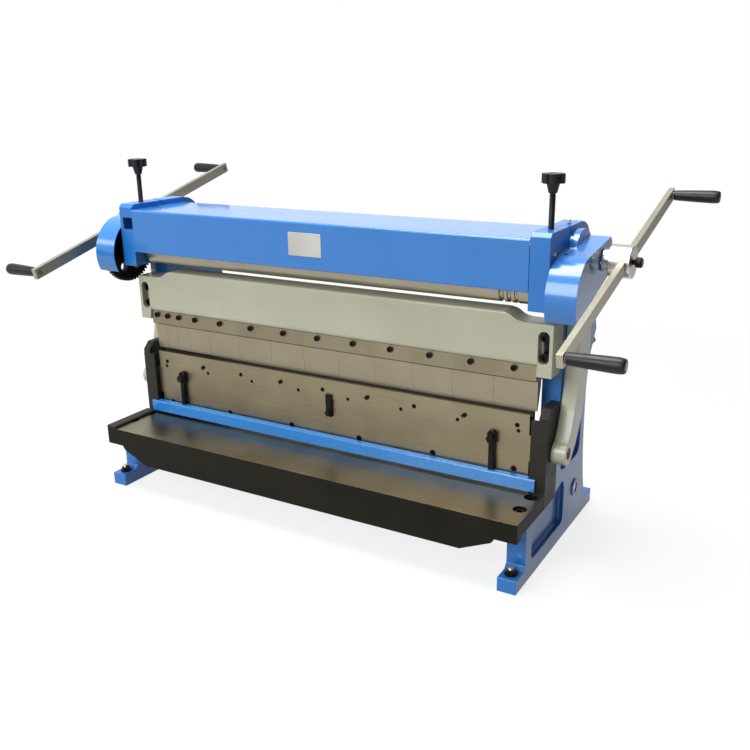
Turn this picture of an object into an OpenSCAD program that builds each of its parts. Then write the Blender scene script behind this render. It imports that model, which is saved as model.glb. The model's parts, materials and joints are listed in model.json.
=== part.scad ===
// Combination sheet metal machine: shear below, press brake in the middle, slip rolls above.
// X runs along the work, Y from front to rear, Z up from the floor. Sizes in millimetres.

/* [Work line] */
// Length of the finger line, which is the widest sheet
work_w = 1016; // [980:1:1060]
// Height of the table top above the floor
table_z = 153; // [148:1:158]
// How far the finger line runs past the inner face of each frame
frame_lap = 8; // [6:1:10]

/* [Side frames] */
// Thickness of each side frame
frame_t = 40; // [38:1:44]
// Front end of the feet, ahead of the bend line
foot_front = 169; // [165:1:175]
// Rear end of the feet, behind the bend line
foot_rear = 309; // [300:1:320]
// Height of the foot lugs
foot_h = 30; // [26:1:34]
// Length of the foot lugs
foot_len = 47; // [42:1:52]
// Diameter of the holes in the foot lugs
foot_hole_d = 13; // [11:0.5:15]
// Front face of the columns, behind the bend line
column_front = 41; // [40:1:44]
// Rear edge of the columns, behind the bend line
column_rear = 219; // [210:1:230]
// Front face of the heads, ahead of the bend line
head_front = 61; // [58:1:66]
// Top of the heads
head_z = 688; // [684:1:696]
// Underside of the heads
head_under = 540; // [536:1:544]
// Radius of the round rear of the heads
lobe_r = 60; // [56:1:64]
// Depth of the cast recesses in the outer faces
recess = 12; // [8:1:16]
// Diameter of the rear tie rod
tie_d = 22; // [18:1:26]
// Rear tie rod ahead of the rear end of the feet
tie_in = 135; // [125:1:145]
// Height of the rear tie rod above the foot lugs
tie_up = 61; // [55:1:67]

/* [Table and lower blade] */
// Front edge of the table, ahead of the bend line
table_front = 172.5; // [168:0.5:178]
// Rear edge of the table, ahead of the bend line
table_back = 26; // [24:0.5:28]
// Thickness of the table over the frames
table_lip = 31; // [28:1:34]
// Depth of the front apron below the table top
apron_drop = 80; // [72:1:86]
// Thickness of the apron wall
apron_t = 22; // [18:1:26]
// Width of the squaring fence
fence_w = 27; // [24:1:30]
// Height of the squaring fence above the table
fence_h = 6; // [4:0.5:10]
// Counterbore diameter over the table bolts
table_bore_d = 28; // [26:0.5:30]

/* [Shear] */
// Cutting plane ahead of the bend line
cut_front = 11; // [10:0.5:12]
// Clearance between the two shear blades
blade_gap = 0.15; // [0.1:0.05:0.3]
// Thickness of the upper blade
blade_t = 12; // [11:0.5:13]
// Height of the upper blade
blade_h = 46; // [42:1:48]
// Rise of the upper blade from its left end to its right end
blade_rake = 11; // [8:0.5:13]
// Opening under the low end of the upper blade
blade_open = 5; // [4:0.5:7]
// Number of upper blade screws
blade_screws = 6; // [5:1:8]
// Height of the hold-down bar
hold_h = 27; // [25:1:30]
// Thickness of the hold-down bar
hold_t = 18.6; // [16:0.2:20]
// Opening under the hold-down bar
hold_gap = 4.8; // [4.6:0.1:6]
// Share of the ram's travel that the hold-down follows
hold_share = 0.4; // [0.3:0.05:0.4]
// Distance of each hanger from the middle of the machine
hanger_x = 420; // [400:1:440]

/* [Ram] */
// Stroke of the ram each way from mid position
ram_stroke = 10; // [8:0.5:10.5]
// Height of the ram seat for the V-die above the table
ram_rise = 119; // [116:1:122]
// Front face of the ram, ahead of the bend line
ram_front = 13; // [12.5:0.1:13.4]
// Height of the ram above its lower edge
ram_h = 97; // [90:1:102]
// Side clearance of the ram in its guides
ram_clear = 0.3; // [0.2:0.05:0.5]
// Height of the V-die
die_h = 44; // [40:1:48]
// Width of the V-die
die_w = 30; // [28:1:34]
// Width of the V groove
groove_w = 16; // [14:1:18]
// Diameter of the ram pins
pin_d = 20; // [18:1:22]
// Height of the ram pins above the table
pin_rise = 82; // [78:1:86]
// Ram pins behind the bend line
pin_back = 17; // [15:1:19]
// Thickness of the guide side walls
guide_wall = 19; // [17:1:21]
// Thickness of the guide front flanges
guide_flange = 11.7; // [10:0.1:12]

/* [Fingers and beam] */
// Opening between V-die and finger tips at mid stroke
tip_gap = 5; // [4:0.5:7]
// Height of a finger
finger_h = 100; // [94:1:106]
// Thickness of a finger
finger_t = 19.6; // [18:0.2:22]
// Clear gap between neighbouring fingers
finger_gap = 0.3; // [0.2:0.05:0.5]
// Number of wide fingers
wide_count = 8; // [6:1:9]
// Width of a wide finger
wide_w = 94; // [90:0.5:96]
// Thickness of the clamp strip
strip_t = 10; // [8:0.5:12]
// Height of the clamp strip
strip_h = 35; // [32:1:38]
// Diameter of the strip bolts
strip_bolt_d = 8; // [6:0.5:10]
// Front face of the beam, ahead of the bend line
beam_front = 20; // [18:0.5:22]
// Height of the beam above the clamp strip at mid length
beam_rise = 103; // [98:1:108]
// Drop of the beam top at its ends
beam_drop = 17; // [12:1:22]
// Diameter of the beam bolts
beam_bolt_d = 12; // [10:0.5:14]

/* [Rolls] */
// Diameter of the three rolls
roll_d = 50; // [49:0.1:50.5]
// Height of the lower roll axis
roll_z = 566; // [564:0.5:568]
// Roll axes ahead of the bend line
roll_front = 6.5; // [5:0.5:8]
// Diameter of the roll journals
journal_d = 24; // [22:0.5:26]
// Running clearance of every journal, on radius
run_fit = 0.05; // [0.03:0.01:0.1]
// Module of the pinch gears
pinch_m = 3; // [2.95:0.01:3.05]
// Teeth on each pinch gear
pinch_n = 17; // [17:1:17]
// Lift of the upper roll
pinch_lift = 3.5; // [2.5:0.5:3.5]
// Rear roll axis behind the bend line
rear_back = 75; // [73:1:78]
// Height of the rear roll axis
rear_z = 555; // [553:1:557]
// Slope of the rear roll slides
rear_tilt = 35; // [33:1:37]
// Travel of the rear roll
rear_travel = 24; // [18:1:26]
// Width and height of the rear roll blocks
rear_block = 34; // [32:1:36]
// Diameter of the adjusting screws
screw_d = 12; // [10:0.5:14]
// Bare screw between each head and its knob
screw_show = 66; // [58:1:74]
// Height of the star knobs with their necks
knob_h = 36; // [32:1:40]
// Diameter of the star knobs
knob_d = 44; // [40:1:50]

/* [Crank] */
// Crank shaft axis behind the bend line
crank_back = 70; // [69:0.5:71]
// Diameter of the crank shaft in its bearings
shaft_d = 32; // [30:0.5:34]
// Diameter of the crank shaft ends
end_d = 24; // [22:0.5:26]
// Eccentric throw
throw_r = 18; // [17:0.5:19]
// Module of the roll drive gears
gear_m = 3; // [2.95:0.01:3.05]
// Teeth on the pinion
pinion_n = 14; // [14:1:14]
// Teeth on the roll drive gear
drive_n = 50; // [50:1:50]
// Thickness of each arm
arm_t = 29.5; // [27:0.5:30]
// Width of each arm below its strap
arm_w = 63; // [60:1:66]
// Wall round the eccentric
strap_wall = 9; // [8:0.5:10]
// Diameter of the lower eye of each arm
eye_d = 50; // [46:1:54]
// Free play of the ram pins in the arms, on radius
pin_play = 2; // [1.9:0.05:2.4]
// Outer face of the gear covers beyond the frames
cover_out = 60; // [58:1:62]
// Wall of the gear covers
cover_t = 2; // [1.5:0.5:2.5]
// Radius of the round front of the left cover, which holds the gears
cover_r = 86; // [86:0.5:88]
// Radius of the round front of the right cover
plain_cover_r = 78.5; // [76:0.5:82]
// Lower front edge of both covers
cover_low = 527; // [522:1:532]
// Diameter of the hubs
hub_d = 64; // [58:1:70]
// Thickness of the bars
bar_t = 12; // [10:0.5:14]
// Width of the bars
bar_w = 25; // [22:1:28]
// Half the distance between the two grips of a bar
bar_half = 356.5; // [340:0.5:370]
// Slope of the bars from upright
bar_tilt = 75; // [72:0.5:78]
// How far the right bar is slid up through its hub
right_slide = -10.4; // [-20:0.2:0]
// How far the left bar is slid up through its hub
left_slide = 44; // [20:0.2:60]
// Length of a grip
grip_len = 94; // [88:1:100]
// Largest diameter of a grip
grip_d = 27; // [25:0.5:30]
// Diameter of the grip spindles
spindle_d = 10; // [9:0.5:11]

/* [Roll cover] */
// Lower edge of the roll cover
hood_low = 575; // [572:1:578]
// Top of the roll cover
hood_top = 676; // [674:1:680]
// Rear edge of the roll cover, behind the bend line
hood_back = 112; // [108:1:118]
// Sheet thickness of the roll cover
hood_t = 2; // [1.5:0.1:2.5]

/* [Hidden] */
$fn = 64;
fi = work_w / 2 - frame_lap;
fo = fi + frame_t;
fm = fi + frame_t / 2;
seat_z = table_z - table_lip;
leg_front = foot_front - foot_len;
rear_foot_h = foot_h + 2;
foot_hole_y = foot_len / 2;
tie_y = foot_rear - tie_in;
tie_z = foot_h + tie_up;
rib_pitch = work_w / 6.35;
table_bolt_y = [-0.61 * table_front, -table_back - 19];
ram_top = table_z + ram_rise;
ram_low = ram_top - ram_h;
ram_back = column_front - 1.3;
ram_half = fi - 2;
die_top = ram_top + die_h;
tip_z = die_top + tip_gap;
strip_low = tip_z + finger_h - strip_h;
strip_top = tip_z + finger_h + 0.5;
strip_bolt_z = strip_top - 10.5;
finger_front = 5.7;
finger_back = finger_t - finger_front;
beam_back = column_front - 6;
beam_top = strip_top + beam_rise;
beam_end_top = beam_top - beam_drop;
lug_low = strip_low + 13;
slot_x = fm + 1;
slot_w = 22;
slot_low = lug_low + 27;
slot_high = slot_low + 66;
slot_span = [slot_low + slot_w / 2, slot_high - slot_w / 2];
beam_bolt_z = [slot_low + 12, slot_high - 15];
narrow_total = work_w - wide_count * wide_w;
narrow_share = [36, 32, 40, 64, 92] / 264;
narrow_w = [for (s = narrow_share) s * narrow_total];
function sum_to(v, n) = n <= 0 ? 0 : v[n - 1] + sum_to(v, n - 1);
narrow_x = [for (i = [0 : 4]) -work_w / 2 + sum_to(narrow_w, i) + narrow_w[i] / 2];
wide_x = [for (i = [0 : wide_count - 1]) work_w / 2 - (i + 0.5) * wide_w];
blade_angle = atan(blade_rake / (2 * ram_half));
blade_mid_z = table_z + blade_open + blade_rake / 2 + blade_h / 2;
blade_pitch = 2 * ram_half / (blade_screws - 0.66);
pin_z = table_z + pin_rise;
hold_low = table_z + hold_gap;
hold_top = hold_low + hold_h;
hold_front = cut_front + 3 + hold_t;
pivot_z = ram_top - 17;
pivot_d = 8;
hanger_t = 8;
hanger_w = 20;
hanger_y = -die_w / 2 - 1 - hanger_t / 2;
hanger_front = hanger_t / 2 - hanger_y;
upper_z = roll_z + pinch_m * pinch_n;
pair_cd = gear_m * (pinion_n + drive_n) / 2;
crank_z = roll_z + sqrt(pair_cd * pair_cd - pow(crank_back + roll_front, 2));
pair_angle = atan2(crank_z - roll_z, crank_back + roll_front);
ecc_d = end_d + 2 * throw_r + 4;
ecc_y = crank_back + throw_r;
swing = asin(ram_stroke / throw_r);
arm_shift = throw_r * (1 - cos(swing)) / 2;
eye_y = pin_back + arm_shift;
strap_x = fo + 2;
strap_t = 9;
strap_end = strap_x + strap_t + 1.5;
strap_room = ecc_d / 2 + strap_wall + ram_stroke + 2;
gear_x = fo + 35;
gear_t = 15;
pinch_x = fo + 4;
lobe_y = crank_back + 53;
lobe_z = crank_z + 3;
upper_block_w = 40;
upper_block_h = 46;
rear_dir = [cos(rear_tilt), -sin(rear_tilt)];
lug_reach = 228;
lug_mid = [rear_back, rear_z] + lug_reach * rear_dir;
lug_half = 13 * [sin(rear_tilt), cos(rear_tilt)];
cover_x = fo + cover_out;
hub_x = cover_x + 2;
bar_x = hub_x + 36;
bar_out = bar_x + bar_t;
grip_x = bar_out + 2.3;
end_reach = max(bar_w * (sin(bar_tilt) + cos(bar_tilt)), grip_d) / 2;
front_reach = max(bar_half - right_slide, bar_half - left_slide) * sin(bar_tilt) + end_reach;
rear_reach = max(bar_half + right_slide, bar_half + left_slide) * sin(bar_tilt) + end_reach;
crank_y = (front_reach - rear_reach) / 2;
bend_y = crank_y - crank_back;
knob_top = head_z + screw_show + knob_h;

// Helpers: a profile in Y and Z drawn along X, one in X and Z drawn along Y, and round bars
module along_x(x0, len) {
  translate([x0, 0, 0]) rotate([90, 0, 90]) linear_extrude(height = len) children();
}
module along_y(y0, len) {
  translate([0, y0 + len, 0]) rotate([90, 0, 0]) linear_extrude(height = len) children();
}
module x_rod(x0, len, d, y, z) {
  translate([x0, y, z]) rotate([0, 90, 0]) cylinder(h = len, d = d);
}
module y_rod(y0, len, d, x, z) {
  translate([x, y0, z]) rotate([-90, 0, 0]) cylinder(h = len, d = d);
}
module box(a, b) {
  translate(a) cube(b - a);
}
module at_bend() {
  translate([0, bend_y, 0]) children();
}
module both_sides() {
  children();
  mirror([1, 0, 0]) children();
}
function curve(a, b, c, n) =
  [for (i = [0 : n]) let (t = i / n) (1 - t) * (1 - t) * a + 2 * t * (1 - t) * b + t * t * c];

// Involute gear outline with one tooth centred on angle a0
function inv(a) = tan(a) * 180 / PI - a;
function half_at(m, n, r) =
  let (rp = m * n / 2, rb = rp * cos(20))
  90 / n - 0.1 / rp * 180 / PI + inv(20) - inv(acos(min(1, rb / r)));
function tooth(m, n, c) =
  let (rp = m * n / 2, rr = rp - 1.25 * m, r1 = max(rr, rp * cos(20)), ra = rp + 0.85 * m,
    rs = [r1, (r1 + rp) / 2, rp, (rp + ra) / 2, ra])
  concat(
    rr < r1 ? [rr * [cos(c - half_at(m, n, r1)), sin(c - half_at(m, n, r1))]] : [],
    [for (r = rs) r * [cos(c - half_at(m, n, r)), sin(c - half_at(m, n, r))]],
    [for (k = [4 : -1 : 0]) rs[k] * [cos(c + half_at(m, n, rs[k])), sin(c + half_at(m, n, rs[k]))]],
    rr < r1 ? [rr * [cos(c + half_at(m, n, r1)), sin(c + half_at(m, n, r1))]] : []);
module gear_outline(m, n, a0) {
  polygon([for (i = [0 : n - 1]) each tooth(m, n, a0 + i * 360 / n)]);
}

// Side frame casting
module frame_outline() {
  polygon(concat(
    [[-foot_front, 0], [foot_rear, 0], [foot_rear, rear_foot_h]],
    curve([foot_rear - foot_len, rear_foot_h], [column_rear, rear_foot_h + 70], [column_rear, 300], 12),
    [[column_rear, 360], lug_mid - lug_half, lug_mid + lug_half],
    curve([lug_mid[0] - 8, lug_mid[1] + 50], [lobe_y + 105, lobe_z - 110], [lobe_y + lobe_r, lobe_z], 10),
    [[lobe_y, lobe_z], [lobe_y, head_z], [-head_front + 8, head_z], [-head_front, head_z - 8]],
    [[-head_front, head_under], [column_front, head_under], [column_front, seat_z]],
    [[-leg_front, seat_z], [-leg_front, foot_h + 10], [-leg_front - 10, foot_h], [-foot_front, foot_h]]));
  translate([lobe_y, lobe_z]) circle(r = lobe_r);
}
module frame_openings() {
  translate([crank_back, crank_z]) circle(d = shaft_d + 2 * run_fit);
  translate([-roll_front, roll_z]) circle(d = journal_d + 4 + 2 * run_fit);
  translate([-roll_front - upper_block_w / 2 - run_fit, upper_z - upper_block_h / 2 - 0.3])
    square([upper_block_w + 2 * run_fit, upper_block_h + pinch_lift + 0.8]);
  translate([rear_back, rear_z]) rotate(-rear_tilt)
    translate([-rear_block / 2 - rear_travel - 0.3, -rear_block / 2 - run_fit])
      square([rear_block + rear_travel + 0.6, rear_block + 2 * run_fit]);
  translate([tie_y, tie_z]) circle(d = tie_d + 2 * run_fit);
  translate([column_front + 4, head_z - 28]) square([8, 40]);
}
module column_recess() {
  polygon(concat(
    curve([column_front + 26, seat_z + 70], [column_front + 26, seat_z + 46], [column_front + 50, seat_z + 46], 6),
    curve([column_rear - 50, seat_z + 46], [column_rear - 26, seat_z + 46], [column_rear - 24, seat_z + 72], 6),
    curve([column_rear - 22, head_under - 150], [column_rear - 24, head_under - 88],
      [column_rear - 60, head_under - 74], 6),
    curve([column_front + 50, head_under - 52], [column_front + 26, head_under - 52],
      [column_front + 26, head_under - 76], 6)));
}
module base_recess() {
  polygon(concat(
    curve([-leg_front + 34, foot_h + 22], [-leg_front + 34, foot_h + 8], [-leg_front + 50, foot_h + 8], 5),
    curve([column_front + 44, foot_h + 8], [column_front + 60, foot_h + 8], [column_front + 60, foot_h + 24], 5),
    curve([column_front + 60, seat_z - 6], [column_front + 58, seat_z + 18], [column_front + 40, seat_z + 18], 5),
    curve([column_front - 10, seat_z + 4], [-leg_front + 60, seat_z - 10], [-leg_front + 34, seat_z - 34], 6)));
}
module side_frame() {
  difference() {
    union() {
      along_x(fi, frame_t) difference() {
        frame_outline();
        frame_openings();
      }
      difference() {
        x_rod(fo - recess - 1, recess + 4, tie_d + 18, tie_y, tie_z);
        x_rod(fi, frame_t + 10, tie_d + 2 * run_fit, tie_y, tie_z);
      }
    }
    along_x(fo - recess, recess + 1) difference() {
      union() {
        column_recess();
        base_recess();
      }
      translate([tie_y, tie_z]) circle(d = tie_d + 18);
    }
    translate([fm, -roll_front, upper_z]) cylinder(h = 200, d = screw_d + 2 * run_fit);
    translate([fm, rear_back, rear_z]) rotate([-90 - rear_tilt, 0, 0]) cylinder(h = 400, d = screw_d + 0.6);
    translate([fm, -foot_front + foot_hole_y, -1]) cylinder(h = foot_h + 2, d = foot_hole_d);
    translate([fm, foot_rear - foot_hole_y, -1]) cylinder(h = foot_h + 4, d = foot_hole_d);
    for (y = table_bolt_y) translate([fm - 2, y, seat_z - 25]) cylinder(h = 40, d = 12);
    for (z = beam_bolt_z) y_rod(column_front - 1, 31, beam_bolt_d, slot_x, z);
  }
}
module right_side_frame() {
  color("royalblue") at_bend() side_frame();
}
module left_side_frame() {
  color("royalblue") at_bend() mirror([1, 0, 0]) difference() {
    side_frame();
    box([fi - 1, -head_front - 1, upper_z + 11], [fo - 9, -roll_front - upper_block_w / 2 + 1, upper_z + 39]);
  }
}

// Shear table with its apron, fence and lower blade
module apron_outline() {
  low = table_z - apron_drop;
  lip_low = seat_z - 10;
  polygon(concat(
    [[-fo + 0.3, seat_z + 1], [-fo + 0.3, lip_low], [-fi + 7, lip_low], [-fi + 13, lip_low - 9.5], [-fi + 80, low]],
    [[fi - 80, low], [fi - 13, lip_low - 9.5], [fi - 7, lip_low], [fo - 0.3, lip_low], [fo - 0.3, seat_z + 1]]));
}
module shear_table() {
  color("dimgray") at_bend() difference() {
    union() {
      box([-fo + 0.3, -table_front, seat_z], [fo - 0.3, -table_back, table_z]);
      along_y(-table_front, apron_t) apron_outline();
      along_y(-table_back - 24, 24) intersection() {
        apron_outline();
        translate([-fi, seat_z - 30]) square([2 * fi, 60]);
      }
      for (i = [-2 : 2]) box([i * rib_pitch - 6, -table_front + 5, seat_z - 28],
        [i * rib_pitch + 6, -table_back - 5, seat_z + 1]);
    }
    both_sides() for (y = table_bolt_y) {
      translate([fm - 2, y, seat_z - 1]) cylinder(h = 60, d = 13);
      translate([fm - 2, y, table_z - 15]) cylinder(h = 20, d = table_bore_d);
    }
    for (i = [-3 : 3]) y_rod(-table_back - 20, 30, 8, i * work_w / 7.2, table_z - table_lip / 2);
  }
}
module table_fence() {
  color("dimgray") at_bend() difference() {
    box([-fo + 0.3, -table_front, table_z], [-fo + 0.3 + fence_w, -hold_front - 1, table_z + fence_h]);
    translate([-fo + 0.3 + fence_w, -table_front, table_z + fence_h]) rotate([0, 45, 0])
      translate([-1.5, -1, -1.5]) cube([3, 400, 3]);
  }
}
module lower_shear_blade() {
  color("silver") at_bend() difference() {
    box([-fi - 4, -table_back, seat_z + 1], [fi + 4, -cut_front - blade_gap, table_z]);
    for (i = [-3 : 3]) y_rod(-table_back - 1, 12, 8, i * work_w / 7.2, table_z - table_lip / 2);
  }
}
module table_bolts() {
  color("black") at_bend() both_sides() for (y = table_bolt_y) translate([fm - 2, y, 0]) difference() {
    union() {
      translate([0, 0, table_z - 15]) cylinder(h = 11, d = 20);
      translate([0, 0, seat_z - 25]) cylinder(h = table_lip + 11, d = 12);
    }
    translate([0, 0, table_z - 10]) cylinder(h = 20, d = 11, $fn = 6);
  }
}

// Dark uprights that guide the ram ends
module ram_guide() {
  difference() {
    union() {
      box([fi + 5, -table_back + 0.3, seat_z], [fo, -table_back + 0.3 + guide_flange, die_top - 8]);
      box([fo - guide_wall, -table_back + 1, seat_z], [fo, column_front, die_top + 19]);
    }
    along_x(fi, 2 * frame_t) {
      translate([pin_back - pin_d / 2 - 1.5, pin_z - ram_stroke - 1]) square([pin_d + 3, 2 * ram_stroke + 2]);
      for (s = [-1, 1]) translate([pin_back, pin_z + s * (ram_stroke + 1)]) circle(d = pin_d + 3);
    }
    along_x(fi, 2 * frame_t) translate([-table_back + 0.3, die_top + 19]) rotate(45) square(26, center = true);
  }
}
module right_ram_guide() {
  color("dimgray") at_bend() ram_guide();
}
module left_ram_guide() {
  color("dimgray") at_bend() mirror([1, 0, 0]) ram_guide();
}

// Upper beam, clamp strip and fingers
module beam_face() {
  x1 = fi - 75;
  polygon(concat(
    [[-fo, 0], [fo, 0], [fo, beam_end_top]],
    curve([x1 + 60, beam_end_top], [x1 + 40, beam_end_top], [x1 + 30, beam_end_top + beam_drop / 2], 6),
    curve([x1 + 30, beam_end_top + beam_drop / 2], [x1 + 20, beam_top], [x1, beam_top], 6),
    curve([-x1, beam_top], [-x1 - 20, beam_top], [-x1 - 30, beam_end_top + beam_drop / 2], 6),
    curve([-x1 - 30, beam_end_top + beam_drop / 2], [-x1 - 40, beam_end_top], [-x1 - 60, beam_end_top], 6),
    [[-fo, beam_end_top]]));
}
module beam_end() {
  difference() {
    along_x(work_w / 2, fo - work_w / 2) difference() {
      translate([-beam_front, lug_low]) square([beam_front + column_front, beam_end_top - lug_low]);
      difference() {
        translate([column_front - 22, lug_low - 1]) square([23, 23]);
        translate([column_front - 22, lug_low + 22]) circle(r = 22);
      }
    }
    slot(slot_w, -beam_front - 1, 21);
    slot(beam_bolt_d + 1, -beam_front - 1, 100);
  }
}
module slot(w, y0, len) {
  along_y(y0, len) {
    translate([slot_x - w / 2, slot_span[0]]) square([w, slot_span[1] - slot_span[0]]);
    for (z = slot_span) translate([slot_x, z]) circle(d = w);
  }
}
module upper_beam() {
  color("gainsboro") at_bend() {
    difference() {
      intersection() {
        along_x(-work_w / 2, work_w) polygon(concat(
          [[-beam_front, strip_top + 9], [-beam_front, beam_top - 6]],
          curve([-beam_front, beam_top - 6], [-beam_front, beam_top], [-beam_front + 6, beam_top], 5),
          [[beam_back, beam_top], [beam_back, strip_low - 3], [finger_back + 0.1, strip_low - 3]],
          [[finger_back + 0.1, strip_top], [-finger_front - strip_t, strip_top]]));
        along_y(-beam_front - 1, 200) beam_face();
      }
      for (x = concat(narrow_x, wide_x)) y_rod(0, finger_back + 18, strip_bolt_d, x, strip_bolt_z);
    }
    both_sides() beam_end();
  }
}
module beam_bolts() {
  color("black") at_bend() both_sides() for (z = beam_bolt_z) difference() {
    union() {
      y_rod(-12, 12, 18, slot_x, z);
      y_rod(-1, column_front + 30, beam_bolt_d, slot_x, z);
    }
    translate([slot_x, -13, z]) rotate([-90, 0, 0]) cylinder(h = 7, d = 11.5, $fn = 6);
  }
}
module clamp_strip() {
  color("silver") at_bend() difference() {
    box([-work_w / 2 + 0.5, -finger_front - strip_t, strip_low],
      [work_w / 2 - 0.5, -finger_front, strip_top]);
    for (x = concat(narrow_x, wide_x)) y_rod(-50, 60, strip_bolt_d + 0.4, x, strip_bolt_z);
    translate([0, -finger_front - strip_t, strip_low]) rotate([45, 0, 0]) cube([2 * work_w, 4, 4], center = true);
  }
}
module clamp_strip_bolts() {
  color("black") at_bend() for (x = concat(narrow_x, wide_x)) difference() {
    union() {
      y_rod(-finger_front - strip_t - 5, 5, strip_bolt_d + 5, x, strip_bolt_z);
      y_rod(-finger_front - strip_t - 1, strip_t + finger_t + 18, strip_bolt_d, x, strip_bolt_z);
    }
    translate([x, -finger_front - strip_t - 6, strip_bolt_z]) rotate([-90, 0, 0]) cylinder(h = 4, d = 7, $fn = 6);
  }
}
module finger(x, w) {
  difference() {
    along_x(x - w / 2 + finger_gap / 2, w - finger_gap) polygon([
      [-finger_front, strip_top - 0.5], [-finger_front, strip_low], [-0.9, tip_z + 0.8], [-0.4, tip_z],
      [0.4, tip_z], [0.9, tip_z + 0.8], [finger_back, tip_z + 50], [finger_back, strip_top - 0.5]]);
    box([x - strip_bolt_d / 2 - 0.5, -50, strip_bolt_z], [x + strip_bolt_d / 2 + 0.5, 50, strip_top + 10]);
    y_rod(-50, 100, strip_bolt_d + 1, x, strip_bolt_z);
  }
}
module narrow_fingers() {
  color("silver") at_bend() for (i = [0 : 4]) finger(narrow_x[i], narrow_w[i]);
}
module wide_fingers() {
  color("silver") at_bend() for (x = wide_x) finger(x, wide_w);
}

// Gear covers, roll cover and its bare plate
module cover_outline(r, i) {
  difference() {
    union() {
      translate([-roll_front, roll_z]) circle(r = r - i);
      polygon([
        [-roll_front, roll_z + r - i], [crank_back + 47, crank_z + 38 - i],
        [crank_back + 57 - i, crank_z + 26 - i], [crank_back + 57 - i, crank_z - 60], [-roll_front, roll_z]]);
    }
    polygon([[-200, cover_low], [-roll_front - r * 0.87, cover_low], [crank_back + 57, crank_z - 34],
      [crank_back + 200, crank_z - 34], [crank_back + 200, 0], [-200, 0]]);
  }
}
module gear_cover(r) {
  difference() {
    union() {
      along_x(cover_x - cover_t, cover_t) cover_outline(r, 0);
      difference() {
        along_x(fo, cover_out - 1) difference() {
          cover_outline(r, 0);
          translate([0, -0.01]) cover_outline(r, cover_t);
          polygon([[-200, 0], [-200, cover_low - 1], [-roll_front - r * 0.5, cover_low - 1],
            [crank_back + 57 - cover_t, crank_z - 34 + cover_t * 2], [crank_back + 57 - cover_t, 0]]);
        }
        box([fo - 1, ecc_y - 2 - strap_room, crank_z - 60], [strap_end + cover_t, crank_back + 100, crank_z + 60]);
      }
      intersection() {
        union() {
          along_x(fo, strap_end + 1 - fo) difference() {
            translate([ecc_y - 2, crank_z]) circle(r = strap_room + cover_t);
            translate([ecc_y - 2, crank_z]) circle(r = strap_room);
          }
          along_x(strap_end, 2 * cover_t) translate([ecc_y - 2, crank_z]) circle(r = strap_room + cover_t);
        }
        box([fo, -100, crank_z + 22], [fo + 25, 300, crank_z + 100]);
      }
    }
    x_rod(fo, 200, end_d + 10, crank_back, crank_z);
  }
}
module right_gear_cover() {
  color("royalblue") at_bend() gear_cover(plain_cover_r);
}
module left_gear_cover() {
  color("royalblue") at_bend() mirror([1, 0, 0]) gear_cover(cover_r);
}
module roll_cover() {
  f = -head_front - 1;
  color("royalblue") at_bend() along_x(-fi, 2 * fi) polygon(concat(
    [[f, hood_low], [f, hood_top - 5]],
    curve([f, hood_top - 5], [f, hood_top], [f + 5, hood_top], 5),
    [[hood_back, hood_top], [hood_back, hood_top - 26], [hood_back - hood_t, hood_top - 26]],
    [[hood_back - hood_t, hood_top - hood_t], [f + 5, hood_top - hood_t]],
    [[f + hood_t, hood_top - 5], [f + hood_t, hood_low + hood_t]],
    [[f + 10, hood_low + hood_t], [f + 10, hood_low]]));
}
module cover_plate() {
  color("silver") at_bend()
    box([-44, -head_front - 1.8, hood_low + 29], [40, -head_front - 1, hood_low + 79]);
}

// Foot bolts and the rod that ties the two frames at the rear
module foot_bolts() {
  color("black") at_bend() both_sides() translate([fm, -foot_front + foot_hole_y, 0]) {
    translate([0, 0, foot_h]) cylinder(h = 2.5, d = 2 * foot_hole_d);
    translate([0, 0, foot_h + 2]) cylinder(h = 9, d = 1.6 * foot_hole_d, $fn = 6);
    translate([0, 0, 1]) cylinder(h = foot_h + 14, d = foot_hole_d - 1);
  }
}
module rear_tie_rod() {
  color("silver") at_bend() x_rod(-fo - 1, 2 * fo + 2, tie_d, tie_y, tie_z);
}

// Ram with V-die, blade, clip, bolts and pins
module blade_space() {
  translate([0, -cut_front, blade_mid_z]) rotate([0, -blade_angle, 0])
    translate([-ram_half - 30, -10, -blade_h / 2 - 60]) cube([2 * ram_half + 60, blade_t + 10, blade_h + 60]);
}
module blade_points() {
  for (i = [0 : blade_screws - 1]) translate([0, 0, blade_mid_z]) rotate([0, -blade_angle, 0])
    translate([(i - (blade_screws - 1) / 2) * blade_pitch, 0, 0]) children();
}
module ram() {
  color("darkgray") at_bend() difference() {
    box([-fo + guide_wall + ram_clear, -ram_front, ram_low], [fo - guide_wall - ram_clear, ram_back, ram_top]);
    blade_space();
    blade_points() translate([0, -cut_front, 0]) rotate([-90, 0, 0]) cylinder(h = blade_t + 22, d = 8);
    both_sides() x_rod(fi, 40, pin_d, pin_back, pin_z);
    for (x = [-hanger_x, hanger_x]) y_rod(-ram_front - 1, 25, pivot_d, x, pivot_z);
    y_rod(-ram_front - 1, 25, pivot_d, 18, ram_top - 33);
  }
}
die_up_x = [for (i = [0 : 8]) (i - 4) * ram_half / 4.22];
die_low_x = [for (i = [0 : 7]) (i - 3.5) * ram_half / 3.67];
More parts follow.
